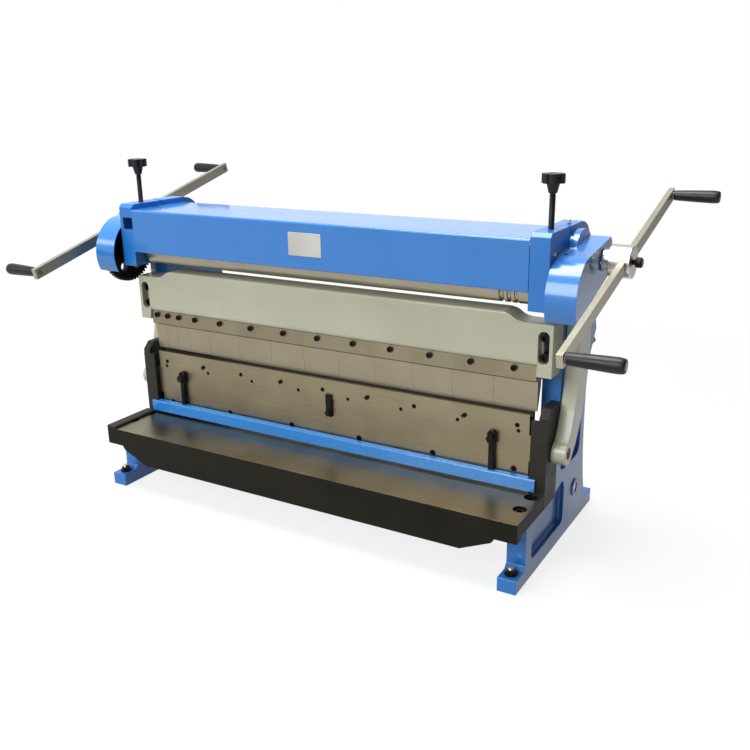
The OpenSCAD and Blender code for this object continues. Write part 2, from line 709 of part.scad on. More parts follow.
module v_die() {
  color("darkgray") at_bend() difference() {
    along_x(-ram_half, 2 * ram_half) polygon([
      [-die_w / 2, ram_top], [die_w / 2, ram_top], [die_w / 2, die_top], [groove_w / 2, die_top],
      [0, die_top - groove_w / 2], [-groove_w / 2, die_top], [-die_w / 2, die_top]]);
    for (x = die_up_x) {
      y_rod(-die_w / 2 - 1, 7, 10.4, x, ram_top + 18.5);
      y_rod(-die_w / 2 - 1, 17, 6, x, ram_top + 18.5);
    }
    for (i = [1 : 2 : 7]) along_y(-die_w / 2 - 1, 5) translate([die_up_x[i], ram_top + 18.5]) rotate(35)
      square([15, 8], center = true);
    for (x = die_low_x) {
      y_rod(-die_w / 2 - 1, 6, 8.4, x, ram_top + 6.5);
      y_rod(-die_w / 2 - 1, 15, 5, x, ram_top + 6.5);
    }
  }
}
module v_die_screws() {
  color("black") at_bend() {
    for (x = die_up_x) difference() {
      union() {
        y_rod(-die_w / 2 + 1, 5, 9.6, x, ram_top + 18.5);
        y_rod(-die_w / 2 + 5, 11, 6, x, ram_top + 18.5);
      }
      translate([x, -die_w / 2, ram_top + 18.5]) rotate([-90, 0, 0]) cylinder(h = 4, d = 5.5, $fn = 6);
    }
    for (x = die_low_x) difference() {
      union() {
        y_rod(-die_w / 2 + 1, 4, 7.8, x, ram_top + 6.5);
        y_rod(-die_w / 2 + 4, 10, 5, x, ram_top + 6.5);
      }
      translate([x, -die_w / 2, ram_top + 6.5]) rotate([-90, 0, 0]) cylinder(h = 3.5, d = 4.5, $fn = 6);
    }
  }
}
module upper_shear_blade() {
  color("silver") at_bend() difference() {
    intersection() {
      translate([0, -cut_front, blade_mid_z]) rotate([0, -blade_angle, 0])
        translate([-ram_half - 20, 0, -blade_h / 2]) cube([2 * ram_half + 40, blade_t, blade_h]);
      box([-ram_half, -cut_front, 0], [ram_half, blade_t, 500]);
    }
    blade_points() {
      translate([0, -cut_front - 1, 0]) rotate([-90, 0, 0]) cylinder(h = 8, d = 14);
      translate([0, -cut_front - 1, 0]) rotate([-90, 0, 0]) cylinder(h = 30, d = 8.4);
    }
  }
}
module upper_blade_screws() {
  color("black") at_bend() blade_points() difference() {
    union() {
      translate([0, -cut_front + 0.5, 0]) rotate([-90, 0, 0]) cylinder(h = 6.5, d = 13.4);
      translate([0, -cut_front + 6, 0]) rotate([-90, 0, 0]) cylinder(h = 26, d = 8);
    }
    translate([0, -cut_front, 0]) rotate([-90, 0, 0]) cylinder(h = 5, d = 7, $fn = 6);
  }
}
module die_clip() {
  color("dimgray") at_bend() difference() {
    along_x(10, 16) polygon([
      [-ram_front, ram_top - 43], [-ram_front, ram_top - 0.2], [-die_w / 2, ram_top - 0.2],
      [-die_w / 2, ram_top + 9], [-die_w / 2 - 2, ram_top + 11], [-die_w / 2 - 5, ram_top + 11],
      [-die_w / 2 - 5, ram_top - 10], [-ram_front - 6, ram_top - 16], [-ram_front - 6, ram_top - 43]]);
    y_rod(-50, 60, pivot_d + 0.4, 18, ram_top - 33);
  }
}
module hanger_bolts() {
  color("black") at_bend() {
    for (x = [-hanger_x, hanger_x]) {
      translate([x, -hanger_front - 8.5, pivot_z]) rotate([-90, 0, 0]) cylinder(h = 6.5, d = 19, $fn = 6);
      y_rod(-hanger_front - 2.5, 2, 19, x, pivot_z);
      y_rod(-hanger_front - 2.5, hanger_front + 2.5 - ram_front + 24, pivot_d, x, pivot_z);
    }
    translate([18, -ram_front - 13, ram_top - 33]) rotate([-90, 0, 0]) cylinder(h = 6, d = 15, $fn = 6);
    y_rod(-ram_front - 7.5, 1.5, 15, 18, ram_top - 33);
    y_rod(-ram_front - 7.5, 31.5, pivot_d, 18, ram_top - 33);
  }
}
module ram_pins() {
  color("silver") at_bend() both_sides() x_rod(fi, fo + 26 - fi, pin_d, pin_back, pin_z);
}

// Hold-down bar on its two slotted hangers
module hold_down_bar() {
  color("royalblue") at_bend() difference() {
    along_x(-fi - 20, 2 * fi + 40) polygon([
      [-hold_front, hold_low], [-cut_front - 3, hold_low], [-cut_front - 3, hold_top - 2],
      [-cut_front - 5, hold_top], [-hold_front + 2, hold_top], [-hold_front, hold_top - 2]]);
    for (x = [-hanger_x, hanger_x])
      translate([x, hanger_y, hold_top - 16]) cylinder(h = 20, d = 6);
    both_sides() box([fi + 4.5, -table_back, hold_low - 1], [fi + 30, 0, hold_top + 1]);
  }
}
module hold_down_hangers() {
  reach = ram_stroke * (1 - hold_share) + 1;
  color("dimgray") at_bend() for (x = [-hanger_x, hanger_x]) {
    translate([x, hanger_y, hold_top - 16]) cylinder(h = 17, d = 6);
    along_y(-hanger_front, hanger_t) difference() {
      union() {
        translate([x - 6, hold_top]) square([12, pivot_z - hold_top]);
        translate([x - hanger_w / 2, pivot_z - reach - 5]) square([hanger_w, 2 * reach + 5]);
        translate([x, pivot_z + reach]) circle(d = hanger_w);
      }
      translate([x - pivot_d / 2 - 0.3, pivot_z - reach]) square([pivot_d + 0.6, 2 * reach]);
      for (s = [-1, 1]) translate([x, pivot_z + s * reach]) circle(d = pivot_d + 0.6);
    }
  }
}

// Connecting arms from the eccentrics down to the ram pins
module arm_outline() {
  w = arm_w / 2;
  translate([eye_y, pin_z]) circle(d = eye_d);
  polygon(concat(
    curve([eye_y - eye_d / 2 + 0.8, pin_z + 6], [ecc_y - w - 10, pin_z + 50], [ecc_y - w, pin_z + 165], 14),
    [[ecc_y - w, crank_z - 50], [ecc_y + w, crank_z - 50]],
    curve([ecc_y + w, pin_z + 190], [ecc_y + w, pin_z + 62], [eye_y + 21, pin_z - 13.5], 14)));
}
module arm() {
  difference() {
    union() {
      along_x(fo + 1.5, arm_t) arm_outline();
      along_x(strap_x, strap_t) {
        translate([ecc_y, crank_z]) circle(d = ecc_d + 2 * strap_wall);
        translate([ecc_y - arm_w / 2, crank_z - 60]) square([arm_w, 60]);
      }
    }
    x_rod(fo, 100, ecc_d + 2 * run_fit, ecc_y, crank_z);
    x_rod(fo, 100, pin_d + 2 * pin_play, eye_y, pin_z);
  }
}
module right_arm() {
  color("gainsboro") at_bend() arm();
}
module left_arm() {
  color("gainsboro") at_bend() mirror([1, 0, 0]) arm();
}

// Crank shaft with its two eccentrics, hubs, bars and grips
module at_crank() {
  translate([0, crank_y, crank_z]) children();
}
module crank_shaft() {
  color("silver") at_crank() {
    x_rod(-fo - 1, 2 * fo + 2, shaft_d, 0, 0);
    both_sides() {
      x_rod(strap_x - 0.5, strap_t + 1, ecc_d, throw_r, 0);
      x_rod(fo, hub_x + 28 - fo, end_d, 0, 0);
    }
  }
}
module hub() {
  difference() {
    union() {
      x_rod(hub_x, 20, hub_d * 0.7, 0, 0);
      x_rod(hub_x + 14, bar_out - hub_x - 6, hub_d, 0, 0);
    }
    x_rod(hub_x - 1, 29, end_d, 0, 0);
    rotate([90 - bar_tilt, 0, 0]) box([bar_x - 0.1, -60, -bar_w / 2 - 0.1], [bar_out + 0.1, 60, bar_w / 2 + 0.1]);
    x_rod(bar_x, 40, 10, 0, 0);
  }
}
module right_hub() {
  color("silver") at_crank() hub();
}
module left_hub() {
  color("silver") at_crank() mirror([1, 0, 0]) hub();
}
module bar(slide) {
  rotate([90 - bar_tilt, 0, 0]) along_x(bar_x, bar_t) difference() {
    translate([slide - bar_half - bar_w / 2, -bar_w / 2]) square([2 * bar_half + bar_w, bar_w]);
    for (s = [-1, 1]) translate([slide + s * bar_half, 0]) circle(d = spindle_d + 2);
  }
}
module right_crank_bar() {
  color("silver") at_crank() bar(right_slide);
}
module left_crank_bar() {
  color("silver") at_crank() mirror([1, 0, 0]) bar(left_slide);
}
module hub_clamp_screws() {
  color("black") at_crank() both_sides() {
    x_rod(bar_out, 14, 10, 0, 0);
    x_rod(bar_out + 12, 2, 17, 0, 0);
    x_rod(bar_out + 14, 9, 20, 0, 0);
    x_rod(bar_out + 23, 2, 17, 0, 0);
  }
}
module drive_pinion() {
  color("dimgray") at_crank() along_x(-gear_x - gear_t - 2, gear_t + 2) difference() {
    gear_outline(gear_m, pinion_n, pair_angle + 180);
    circle(d = end_d);
  }
}
module on_bar(slide, s) {
  rotate([90 - bar_tilt, 0, 0]) translate([0, slide + s * bar_half, 0]) children();
}
module spindle() {
  x_rod(bar_x, bar_t + 1, spindle_d + 2, 0, 0);
  x_rod(bar_out, 2, spindle_d + 8, 0, 0);
  x_rod(bar_out, grip_x + grip_len - bar_out - 2, spindle_d, 0, 0);
  x_rod(grip_x + grip_len - 3.7, 4, spindle_d + 6, 0, 0);
}
module grip_spindles() {
  color("silver") at_crank() {
    for (s = [-1, 1]) on_bar(right_slide, s) spindle();
    mirror([1, 0, 0]) for (s = [-1, 1]) on_bar(left_slide, s) spindle();
  }
}
module grip() {
  r0 = spindle_d / 2 + run_fit + 0.02;
  r1 = spindle_d / 2 + 3.4;
  translate([grip_x, 0, 0]) rotate([0, 90, 0]) rotate_extrude() polygon(concat(
    [[r0, 0], [grip_d / 2 - 4, 0]],
    curve([grip_d / 2 - 4, 0], [grip_d / 2 - 3, 0], [grip_d / 2 - 2.8, 2], 3),
    curve([grip_d / 2 - 2.8, 2], [grip_d / 2 - 0.6, grip_len * 0.5], [grip_d / 2, grip_len - 14], 6),
    curve([grip_d / 2, grip_len - 14], [grip_d / 2, grip_len], [grip_d / 2 - 3.5, grip_len], 6),
    [[r1, grip_len], [r1, grip_len - 4], [r0, grip_len - 4]]));
}
module right_front_grip() {
  color("black") at_crank() on_bar(right_slide, -1) grip();
}
module right_rear_grip() {
  color("black") at_crank() on_bar(right_slide, 1) grip();
}
module left_front_grip() {
  color("black") at_crank() mirror([1, 0, 0]) on_bar(left_slide, -1) grip();
}
module left_rear_grip() {
  color("black") at_crank() mirror([1, 0, 0]) on_bar(left_slide, 1) grip();
}

// Three rolls with their gears, blocks and screws
roll_half = fi - 6;
module wire_grooves(z) {
  for (g = [[30, 3], [44, 4], [60, 5]]) translate([roll_half - g[0], 0, z]) rotate([0, 90, 0])
    rotate_extrude() translate([roll_d / 2, 0]) circle(r = g[1], $fn = 24);
}
module lower_roll() {
  color("silver") at_bend() translate([0, -roll_front, 0]) difference() {
    union() {
      x_rod(-roll_half, 2 * roll_half, roll_d, 0, roll_z);
      x_rod(-fo - 1, 2 * fo + 2, journal_d + 4, 0, roll_z);
      x_rod(-gear_x - gear_t - 2, gear_x + gear_t + 2 + fo + 6, journal_d, 0, roll_z);
    }
    wire_grooves(roll_z);
  }
}
module roll_drive_gear() {
  color("dimgray") at_bend() along_x(-gear_x - gear_t, gear_t) translate([-roll_front, roll_z]) difference() {
    gear_outline(gear_m, drive_n, pair_angle + 180 / drive_n);
    circle(d = journal_d);
    for (a = [0 : 60 : 300]) rotate(a) translate([gear_m * drive_n / 4 + 7, 0]) circle(d = 22);
  }
}
module lower_pinch_gear() {
  color("dimgray") at_bend() along_x(-pinch_x - gear_t, gear_t) translate([-roll_front, roll_z]) difference() {
    gear_outline(pinch_m, pinch_n, 90 + 180 / pinch_n);
    circle(d = journal_d);
  }
}
module upper_roll() {
  color("silver") at_bend() translate([0, -roll_front, 0]) {
    x_rod(-roll_half, 2 * roll_half, roll_d, 0, upper_z);
    x_rod(-pinch_x - gear_t - 2, pinch_x + gear_t + 2 + fo - 4, journal_d, 0, upper_z);
  }
}
module upper_pinch_gear() {
  color("dimgray") at_bend() along_x(-pinch_x - gear_t, gear_t) translate([-roll_front, upper_z]) difference() {
    gear_outline(pinch_m, pinch_n, 270);
    circle(d = journal_d);
  }
}
module upper_roll_blocks() {
  color("goldenrod") at_bend() both_sides() difference() {
    along_x(fi + 0.5, frame_t - 1) translate([-roll_front - upper_block_w / 2, upper_z - upper_block_h / 2])
      square([upper_block_w, upper_block_h]);
    x_rod(fi, frame_t, journal_d + 2 * run_fit, -roll_front, upper_z);
  }
}
module knob_screw(side) {
  low = upper_z + upper_block_h / 2 + 0.3;
  color("black") at_bend() translate([side * fm, -roll_front, 0]) {
    translate([0, 0, low]) cylinder(h = knob_top - 10 - low, d = screw_d);
    translate([0, 0, knob_top - knob_h]) cylinder(h = knob_h / 2 + 2, d1 = screw_d + 4, d2 = screw_d + 14);
    translate([0, 0, knob_top - knob_h / 2]) difference() {
      cylinder(h = knob_h / 2, d = knob_d);
      for (a = [0 : 60 : 300]) rotate(a + 30) translate([knob_d / 2 + 3, 0, -1]) cylinder(h = knob_h, d = 14);
    }
  }
}
module right_knob_screw() {
  knob_screw(1);
}
module left_knob_screw() {
  knob_screw(-1);
}
module rear_roll() {
  color("silver") at_bend() translate([0, rear_back, 0]) difference() {
    union() {
      x_rod(-roll_half, 2 * roll_half, roll_d, 0, rear_z);
      x_rod(-fo + 4, 2 * fo - 8, journal_d, 0, rear_z);
    }
    wire_grooves(rear_z);
  }
}
module rear_roll_blocks() {
  color("goldenrod") at_bend() both_sides() difference() {
    along_x(fi + 0.5, frame_t - 1) translate([rear_back, rear_z]) rotate(-rear_tilt)
      square(rear_block, center = true);
    x_rod(fi, frame_t, journal_d + 2 * run_fit, rear_back, rear_z);
  }
}
module rear_screw(side) {
  head = lug_reach + rear_travel + 2;
  color("black") at_bend() translate([side * fm, rear_back, rear_z]) rotate([-90 - rear_tilt, 0, 0]) {
    translate([0, 0, rear_block / 2 + 0.3]) cylinder(h = head + 1.7 - rear_block / 2, d = screw_d);
    translate([0, 0, head]) cylinder(h = 3, d = 24);
    translate([0, 0, head + 2]) cylinder(h = 18, d = 24, $fn = 6);
  }
}
module right_rear_screw() {
  rear_screw(1);
}
module left_rear_screw() {
  rear_screw(-1);
}

left_side_frame();
right_side_frame();
shear_table();
table_fence();
lower_shear_blade();
table_bolts();
left_ram_guide();
right_ram_guide();
upper_beam();
beam_bolts();
clamp_strip();
clamp_strip_bolts();
narrow_fingers();
wide_fingers();
left_gear_cover();
right_gear_cover();
roll_cover();
cover_plate();
foot_bolts();
rear_tie_rod();
ram();
v_die();
v_die_screws();
upper_shear_blade();
upper_blade_screws();
die_clip();
hanger_bolts();
ram_pins();
hold_down_bar();
hold_down_hangers();
left_arm();
right_arm();
crank_shaft();
left_hub();
right_hub();
left_crank_bar();
right_crank_bar();
hub_clamp_screws();
drive_pinion();
grip_spindles();
left_front_grip();
left_rear_grip();
right_front_grip();
right_rear_grip();
lower_roll();
roll_drive_gear();
lower_pinch_gear();
upper_roll();
upper_pinch_gear();
upper_roll_blocks();
left_knob_screw();
right_knob_screw();
rear_roll();
rear_roll_blocks();
left_rear_screw();
right_rear_screw();
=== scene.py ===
"""Looks of a combination sheet metal machine: shear, press brake and slip rolls.

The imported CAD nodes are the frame. Each node is copied, its edges are eased as a foundry or a
machine shop leaves them, and it gets a finish. Small fittings are modelled here. Metres, Z up.
"""
import json
import math

import bpy
from mathutils import Matrix, Vector


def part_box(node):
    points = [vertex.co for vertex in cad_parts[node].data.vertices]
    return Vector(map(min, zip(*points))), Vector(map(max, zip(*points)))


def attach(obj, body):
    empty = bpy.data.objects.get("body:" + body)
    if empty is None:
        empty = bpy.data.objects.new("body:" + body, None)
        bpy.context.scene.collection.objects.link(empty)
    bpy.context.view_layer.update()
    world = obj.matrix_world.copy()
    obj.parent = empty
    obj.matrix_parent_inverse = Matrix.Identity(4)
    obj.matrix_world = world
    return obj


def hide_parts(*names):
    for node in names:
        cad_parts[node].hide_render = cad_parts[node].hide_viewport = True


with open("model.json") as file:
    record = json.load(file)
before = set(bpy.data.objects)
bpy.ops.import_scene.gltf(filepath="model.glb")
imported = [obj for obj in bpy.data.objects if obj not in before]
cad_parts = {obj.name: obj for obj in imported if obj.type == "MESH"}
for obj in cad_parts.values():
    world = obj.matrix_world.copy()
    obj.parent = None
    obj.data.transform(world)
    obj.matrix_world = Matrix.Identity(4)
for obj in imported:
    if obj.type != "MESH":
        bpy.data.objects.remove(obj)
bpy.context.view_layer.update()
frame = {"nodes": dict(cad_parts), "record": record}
record = frame["record"]
MM = 0.001

# Datums of the machine, read from the frame
FINGER_NOSE = 5.7 * MM
TABLE_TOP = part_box("shear_table")[1].z
HEAD_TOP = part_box("right_side_frame")[1].z
FRAME_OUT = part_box("upper_beam")[1].x
BEND_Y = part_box("wide_fingers")[0].y + FINGER_NOSE
DIE_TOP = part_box("v_die")[1].z
DIE_HALF = BEND_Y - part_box("v_die")[0].y
CRANK_Y = 0.5 * sum(corner.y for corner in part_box("right_hub"))
JOINT_AT = {joint["name"]: (Vector(joint["pos_m"]), Vector(joint["axis"]))
            for joint in record["behaviour"]["joints"] if joint["type"] == "hinge"}

# Where finishes change or patterns act
DIE_FACE_SKIN = 0.6 * MM
# How deep below the die's top the painted shade of its groove reaches
DIE_SHADE_DEEP = 11 * MM
PLANED_SKIN = 0.25 * MM
PATTERN_SPAN = (0.3, 0.7)


# ---------------------------------------------------------------- node helpers

def linear(hex_code):
    """An sRGB hex colour as linear RGBA."""
    channels = [int(hex_code[i:i + 2], 16) / 255 for i in (1, 3, 5)]
    return [c / 12.92 if c <= 0.04045 else ((c + 0.055) / 1.055) ** 2.4 for c in channels] + [1.0]


def add(tree, kind, links=None, **settings):
    """Adds one node; links gives a value or another node's output for each named input."""
    made = tree.nodes.new(kind)
    for name, value in settings.items():
        setattr(made, name, value)
    for socket, value in (links or {}).items():
        if isinstance(value, bpy.types.NodeSocket):
            tree.links.new(value, made.inputs[socket])
        else:
            made.inputs[socket].default_value = value
    return made


def per(size_mm):
    """Pattern scale for features of that many millimetres."""
    return 1 / (size_mm * MM)


def start(name):
    """A new material with its node tree, shader and Object coordinates."""
    made = bpy.data.materials.new(name)
    made.use_nodes = True
    tree = made.node_tree
    coords = add(tree, "ShaderNodeTexCoord").outputs["Object"]
    return made, tree, tree.nodes["Principled BSDF"], coords


def ramp_between(tree, factor, low, high):
    """Two hex colours, mixed by a pattern's factor."""
    ramp = add(tree, "ShaderNodeValToRGB", {"Fac": factor})
    ramp.color_ramp.elements[0].position, ramp.color_ramp.elements[1].position = PATTERN_SPAN
    ramp.color_ramp.elements[0].color = linear(low)
    ramp.color_ramp.elements[1].color = linear(high)
    return ramp.outputs["Color"]


def noise(tree, coords, size_mm, detail):
    """Soft noise with patches of that many millimetres."""
    links = {"Vector": coords, "Scale": per(size_mm), "Detail": detail}
    return add(tree, "ShaderNodeTexNoise", links).outputs["Fac"]


def tool_lines(tree, coords, line_mm, run_mm, axis, breakup):
    """Fine lines that run along one axis, as a cutter or a grinding wheel leaves them."""
    scale = [per(line_mm)] * 3
    scale["XYZ".index(axis)] = per(run_mm)
    drawn = add(tree, "ShaderNodeMapping", {"Vector": coords, "Scale": scale}).outputs["Vector"]
    links = {"Vector": drawn, "Scale": 1.0, "Detail": 4.0, "Roughness": breakup}
    return add(tree, "ShaderNodeTexNoise", links).outputs["Fac"]


def bump(tree, height, strength, deep_mm, over=None):
    """A bump from a pattern, laid over another bump where one is given."""
    links = {"Height": height, "Strength": strength, "Distance": deep_mm * MM}
    if over is not None:
        links["Normal"] = over
    return add(tree, "ShaderNodeBump", links).outputs["Normal"]


def calc(tree, operation, first, second=None):
    """One sum on one or two values."""
    links = {0: first} if second is None else {0: first, 1: second}
    return add(tree, "ShaderNodeMath", links, operation=operation).outputs["Value"]


def remap(tree, value, source, target):
    """A value carried from one span to another, and held at its ends."""
    links = {"Value": value, "From Min": source[0], "From Max": source[1],
             "To Min": target[0], "To Max": target[1]}
    return add(tree, "ShaderNodeMapRange", links).outputs["Result"]


def blend(tree, factor, first, second, kind="FLOAT"):
    """Two values or two colours, mixed by a factor."""
    links = {"Factor": factor, "A": first, "B": second}
    return add(tree, "ShaderNodeMix", links, data_type=kind).outputs["Result"]


def split(tree, vector):
    """The X, Y and Z outputs of a vector."""
    return add(tree, "ShaderNodeSeparateXYZ", {"Vector": vector}).outputs


def feed(tree, shader, **values):
    """Links outputs to the shader's inputs; an underscore in a name stands for a space."""
    for name, value in values.items():
        tree.links.new(value, shader.inputs[name.replace("_", " ")])


def fix(shader, **values):
    """Sets plain values of the shader's inputs; an underscore in a name stands for a space."""
    for name, value in values.items():
        shader.inputs[name.replace("_", " ")].default_value = value


# ---------------------------------------------------------------- finishes

def enamel(name, low, high, rough, peel_mm, peel, cast_mm, cast, coat):
    """Sprayed enamel: clear colour, soft shine, fine orange peel, and the casting's skin beneath it."""
    made, tree, shader, coords = start(name)
    cloud, wipe = noise(tree, coords, 140, 3.0), noise(tree, coords, 35, 5.0)
    skin = bump(tree, noise(tree, coords, cast_mm, 4.0), cast, 0.6)
    orange = bump(tree, noise(tree, coords, peel_mm, 2.0), peel, 0.25, skin)
    feed(tree, shader, Base_Color=ramp_between(tree, cloud, low, high), Normal=orange,
         Roughness=remap(tree, wipe, (0, 1), (rough - 0.05, rough + 0.07)))
    fix(shader, IOR=1.5, Coat_Weight=coat, Coat_Roughness=0.07)
    return made


def ground(name, low, high, rough, line_mm, run_mm, axis, marks):
    """Machined steel: fine tool lines along one axis, a drifting oil film, a broad warm reflection."""
    made, tree, shader, coords = start(name)
    lines = tool_lines(tree, coords, line_mm, run_mm, axis, 0.65)
    both = blend(tree, 0.45, lines, noise(tree, coords, 90, 4.0))
    feed(tree, shader, Base_Color=ramp_between(tree, both, low, high), Normal=bump(tree, lines, marks, 0.1),
         Roughness=remap(tree, both, PATTERN_SPAN, (rough - 0.08, rough + 0.08)))
    fix(shader, Metallic=1.0)
    return made


def shaded_groove_die():
    """Ground die steel with painted shade on its top and in its groove, where the fingers' shadow falls, and
    none on the front face.
    """
    made = ground("ground_die_steel", "#80765F", "#978D75", 0.42, 1.2, 70, "X", 0.08)
    tree = made.node_tree
    base = tree.nodes["Principled BSDF"].inputs["Base Color"]
    place = split(tree, add(tree, "ShaderNodeTexCoord").outputs["Object"])
    aside = calc(tree, "ABSOLUTE", calc(tree, "SUBTRACT", place["Y"], BEND_Y))
    inside = calc(tree, "LESS_THAN", aside, DIE_HALF - DIE_FACE_SKIN)
    high = calc(tree, "GREATER_THAN", place["Z"], DIE_TOP - DIE_SHADE_DEEP)
    groove_shade = calc(tree, "MULTIPLY", inside, high)
    # A dark colour on the top and in the groove paints in the shade that falls there
    tree.links.new(blend(tree, groove_shade, base.links[0].from_socket, linear("#423B29"), "RGBA"), base)
    return made


def table_iron():
    """Grey iron: a dark, slightly rough painted skin below, and a planed top that shines like worn steel."""
    made, tree, shader, coords = start("planed_grey_iron")
    planed = calc(tree, "GREATER_THAN", split(tree, coords)["Z"], TABLE_TOP - PLANED_SKIN)
    lines, film = tool_lines(tree, coords, 1.6, 140, "X", 0.5), noise(tree, coords, 110, 5.0)
    worn = blend(tree, 0.6, lines, film)
    top = ramp_between(tree, worn, "#736B57", "#928A76")
    side = ramp_between(tree, film, "#14110A", "#1F1B12")
    gloss = remap(tree, worn, PATTERN_SPAN, (0.24, 0.40))
    height = blend(tree, planed, noise(tree, coords, 5, 5.0), lines)
    feed(tree, shader, Base_Color=blend(tree, planed, side, top, "RGBA"), Metallic=planed,
         Roughness=blend(tree, planed, 0.52, gloss), Normal=bump(tree, height, 0.18, 0.25))
    fix(shader, Specular_IOR_Level=0.12)
    return made


def dark_coat(name, low, high, rough, grain_mm, grain, metallic):
    """A dark finish: blacked steel, painted iron or moulded plastic, with its own fine grain."""
    made, tree, shader, coords = start(name)
    cloud, fine = noise(tree, coords, 30, 4.0), noise(tree, coords, grain_mm, 3.0)
    feed(tree, shader, Base_Color=ramp_between(tree, cloud, low, high), Normal=bump(tree, fine, grain, 0.2),
         Roughness=remap(tree, cloud, PATTERN_SPAN, (rough - 0.06, rough + 0.08)))
    fix(shader, Metallic=metallic, Specular_IOR_Level=0.3)
    return made


FINISH = {
    "blue_casting": enamel("blue_enamel_on_casting", "#1C70C0", "#2479CA", 0.34, 2.4, 0.10, 9, 0.14, 0.2),
    "blue_sheet": enamel("blue_enamel_on_sheet", "#2076C6", "#267BCB", 0.24, 2.0, 0.06, 60, 0.05, 0.6),
    # A lighter copy of the blue enamel for the hold-down bar: painted light, which makes up for the shade the
    # beam and ram cast on it
    "blue_bar_painted_light": enamel("blue_enamel_lightened_for_shade", "#2684D6", "#2E8BDD", 0.26, 2.0, 0.06, 60, 0.05, 0.5),
    "cream": enamel("cream_enamel_on_casting", "#B7B69E", "#C2C1AA", 0.34, 2.6, 0.10, 11, 0.14, 0.4),
    "tool_steel": ground("ground_tool_steel", "#7E7560", "#958C76", 0.42, 1.2, 70, "X", 0.08),
    "die_steel": shaded_groove_die(),
    "finger_steel": ground("ground_finger_steel", "#8D8571", "#A09883", 0.40, 1.2, 45, "Z", 0.08),
    "drawn_bar": ground("drawn_bright_bar", "#9D9989", "#B3AFA0", 0.42, 1.6, 160, "Y", 0.03),
    "turned": ground("turned_bright_steel", "#B4B1A9", "#CFCDC6", 0.26, 0.9, 0.9, "X", 0.05),
    "polished_hub": ground("polished_turned_hub", "#B5B2AA", "#CBC8C1", 0.24, 2.0, 60, "Y", 0.02),
    "roll_steel": ground("ground_roll_steel", "#8F897A", "#A6A090", 0.32, 0.9, 0.9, "X", 0.05),
    "spindle": ground("worn_spindle_steel", "#6E6B64", "#86837B", 0.38, 0.9, 0.9, "X", 0.05),
    "gear": ground("greased_gear_steel", "#24211D", "#35312B", 0.46, 1.4, 20, "X", 0.10),
    "bronze": ground("cast_bearing_bronze", "#8E6B33", "#A8823F", 0.38, 1.6, 25, "X", 0.08),
    "plate": ground("brushed_aluminium_plate", "#B4B3AE", "#C5C4BF", 0.36, 0.8, 40, "X", 0.06),
    "zinc": ground("zinc_plated_steel", "#B9B6A4", "#D2CFBE", 0.28, 0.8, 6, "X", 0.05),
    "table": table_iron(),
    "dark_iron": dark_coat("dark_painted_iron", "#1B1915", "#282520", 0.55, 4, 0.18, 0.0),
    "black_oxide": dark_coat("blacked_steel", "#151413", "#22201D", 0.38, 1.2, 0.10, 0.7),
    "black_plastic": dark_coat("moulded_black_plastic", "#0E0E0E", "#161616", 0.36, 0.8, 0.05, 0.0),
}


# ---------------------------------------------------------------- eased copies

# Finish, edge radius in mm and rounding steps of every CAD node
DRESS = {
    "left_side_frame": ("blue_casting", 1.2, 3), "right_side_frame": ("blue_casting", 1.2, 3),
    "left_gear_cover": ("blue_sheet", 1.0, 3), "right_gear_cover": ("blue_sheet", 1.0, 3),
    # The hold-down bar's lighter blue is painted light against the shade it sits in
    "roll_cover": ("blue_sheet", 0.9, 3), "hold_down_bar": ("blue_bar_painted_light", 0.8, 2),
    "upper_beam": ("cream", 2.0, 3), "left_arm": ("cream", 0.45, 4), "right_arm": ("cream", 0.45, 4),
    "shear_table": ("table", 0.6, 2), "table_fence": ("dark_iron", 0.5, 2),
    "left_ram_guide": ("dark_iron", 0.6, 2), "right_ram_guide": ("dark_iron", 0.6, 2),
    "clamp_strip": ("tool_steel", 0.4, 2), "ram": ("tool_steel", 0.5, 2), "v_die": ("die_steel", 0.4, 2),
    "narrow_fingers": ("finger_steel", 0.15, 2), "wide_fingers": ("finger_steel", 0.15, 2),
    "lower_shear_blade": ("tool_steel", 0.2, 1), "upper_shear_blade": ("tool_steel", 0.2, 1),
    "left_crank_bar": ("drawn_bar", 0.6, 2), "right_crank_bar": ("drawn_bar", 0.6, 2),
    "crank_shaft": ("turned", 0.5, 2), "lower_roll": ("roll_steel", 0.5, 2),
    "upper_roll": ("roll_steel", 0.5, 2), "rear_roll": ("roll_steel", 0.5, 2),
    "rear_tie_rod": ("turned", 0.5, 2), "ram_pins": ("turned", 0.5, 2), "grip_spindles": ("spindle", 0.4, 2),
    "left_hub": ("polished_hub", 1.5, 3), "right_hub": ("polished_hub", 1.5, 3),
    "drive_pinion": ("gear", 0.0, 0), "roll_drive_gear": ("gear", 0.0, 0),
    "lower_pinch_gear": ("gear", 0.0, 0), "upper_pinch_gear": ("gear", 0.0, 0),
    "table_bolts": ("black_oxide", 0.4, 2), "beam_bolts": ("black_oxide", 0.4, 2),
    "clamp_strip_bolts": ("black_oxide", 0.4, 2), "foot_bolts": ("black_oxide", 0.5, 2),
    "v_die_screws": ("black_oxide", 0.3, 1), "upper_blade_screws": ("black_oxide", 0.3, 1),
    "die_clip": ("black_oxide", 0.6, 2), "hanger_bolts": ("black_oxide", 0.5, 2),
    "hold_down_hangers": ("black_oxide", 1.0, 3), "hub_clamp_screws": ("black_oxide", 0.6, 2),
    "left_rear_screw": ("black_oxide", 0.5, 2), "right_rear_screw": ("black_oxide", 0.5, 2),
    "left_front_grip": ("black_plastic", 0.6, 2), "left_rear_grip": ("black_plastic", 0.6, 2),
    "right_front_grip": ("black_plastic", 0.6, 2), "right_rear_grip": ("black_plastic", 0.6, 2),
    "left_knob_screw": ("black_plastic", 1.2, 3), "right_knob_screw": ("black_plastic", 1.2, 3),
    "upper_roll_blocks": ("bronze", 0.5, 2), "rear_roll_blocks": ("bronze", 0.5, 2),
    "cover_plate": ("plate", 0.2, 1),
}
# Nodes with edges closer together than their rounding, which is held back there so that no face folds over
NARROW = {"left_gear_cover", "right_gear_cover", "ram", "v_die"}
